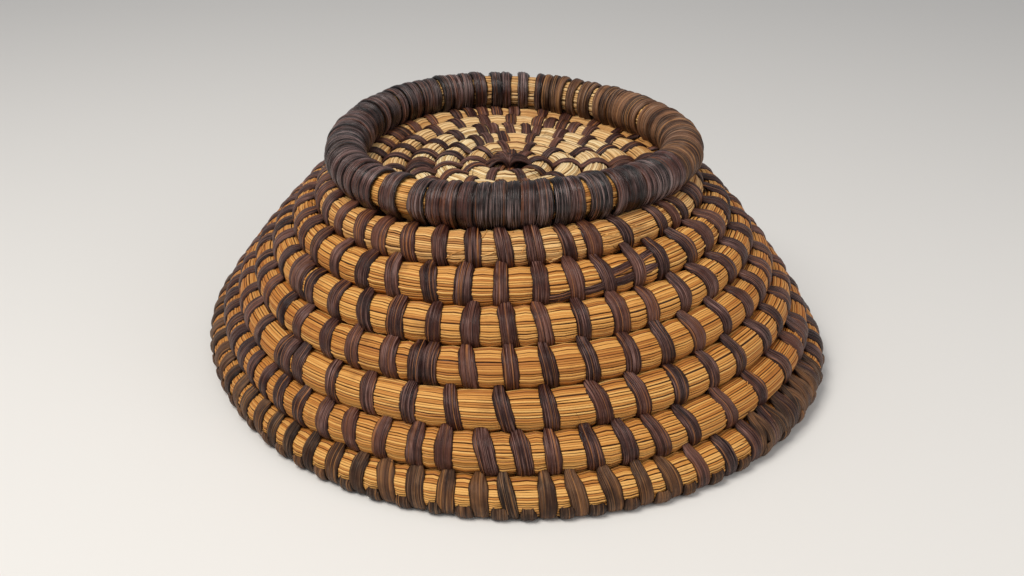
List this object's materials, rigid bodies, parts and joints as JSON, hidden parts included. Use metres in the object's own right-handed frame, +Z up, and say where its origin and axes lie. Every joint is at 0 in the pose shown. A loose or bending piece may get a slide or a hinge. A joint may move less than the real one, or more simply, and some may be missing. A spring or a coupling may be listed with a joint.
{
  "type": "coiled straw basket",
  "caption": "Round coiled straw basket standing on its rim: a spiral straw bundle sewn with dark bark splints, with a wrapped foot ring on its flat base.",
  "frame": {"origin": "middle of the part's box in plan, on the plane that the rim stands on", "axes": "+Z up, from the mouth, which faces down, to the foot ring; +X to the viewer's right; +Y away from the viewer"},
  "size_m": [0.3882, 0.3902, 0.1394],
  "materials": {
    "straw": "golden-brown rye straw in a tight bundle, satin stems with dark lines between them",
    "bark_splint": "dark brown split bark, fibrous along its length, slight sheen",
    "rim_splint": "olive-brown split bark, worn, matt",
    "ring_splint_dark": "very dark split bark, polished by handling",
    "ring_splint_brown": "red-brown split bark, finer and more matt"
  },
  "bodies": {
    "basket": {"straw_coil_base": "straw", "straw_coil": "straw", "centre_knot": "bark_splint", "base_stitches_1": "bark_splint", "base_stitches_2": "bark_splint", "base_stitches_3": "bark_splint", "base_stitches_4": "bark_splint", "base_stitches_5": "bark_splint", "base_stitches_6": "bark_splint", "wall_stitches_1": "bark_splint", "wall_stitches_2": "bark_splint", "wall_stitches_3": "bark_splint", "wall_stitches_4": "bark_splint", "wall_stitches_5": "bark_splint", "wall_stitches_6": "bark_splint", "rim_stitches": "rim_splint", "rim_end_wrap": "rim_splint", "splint_tail": "bark_splint", "foot_ring_core": "straw", "foot_ring_wrap_dark": "ring_splint_dark", "foot_ring_wrap_brown": "ring_splint_brown"}
  },
  "joints": []
}
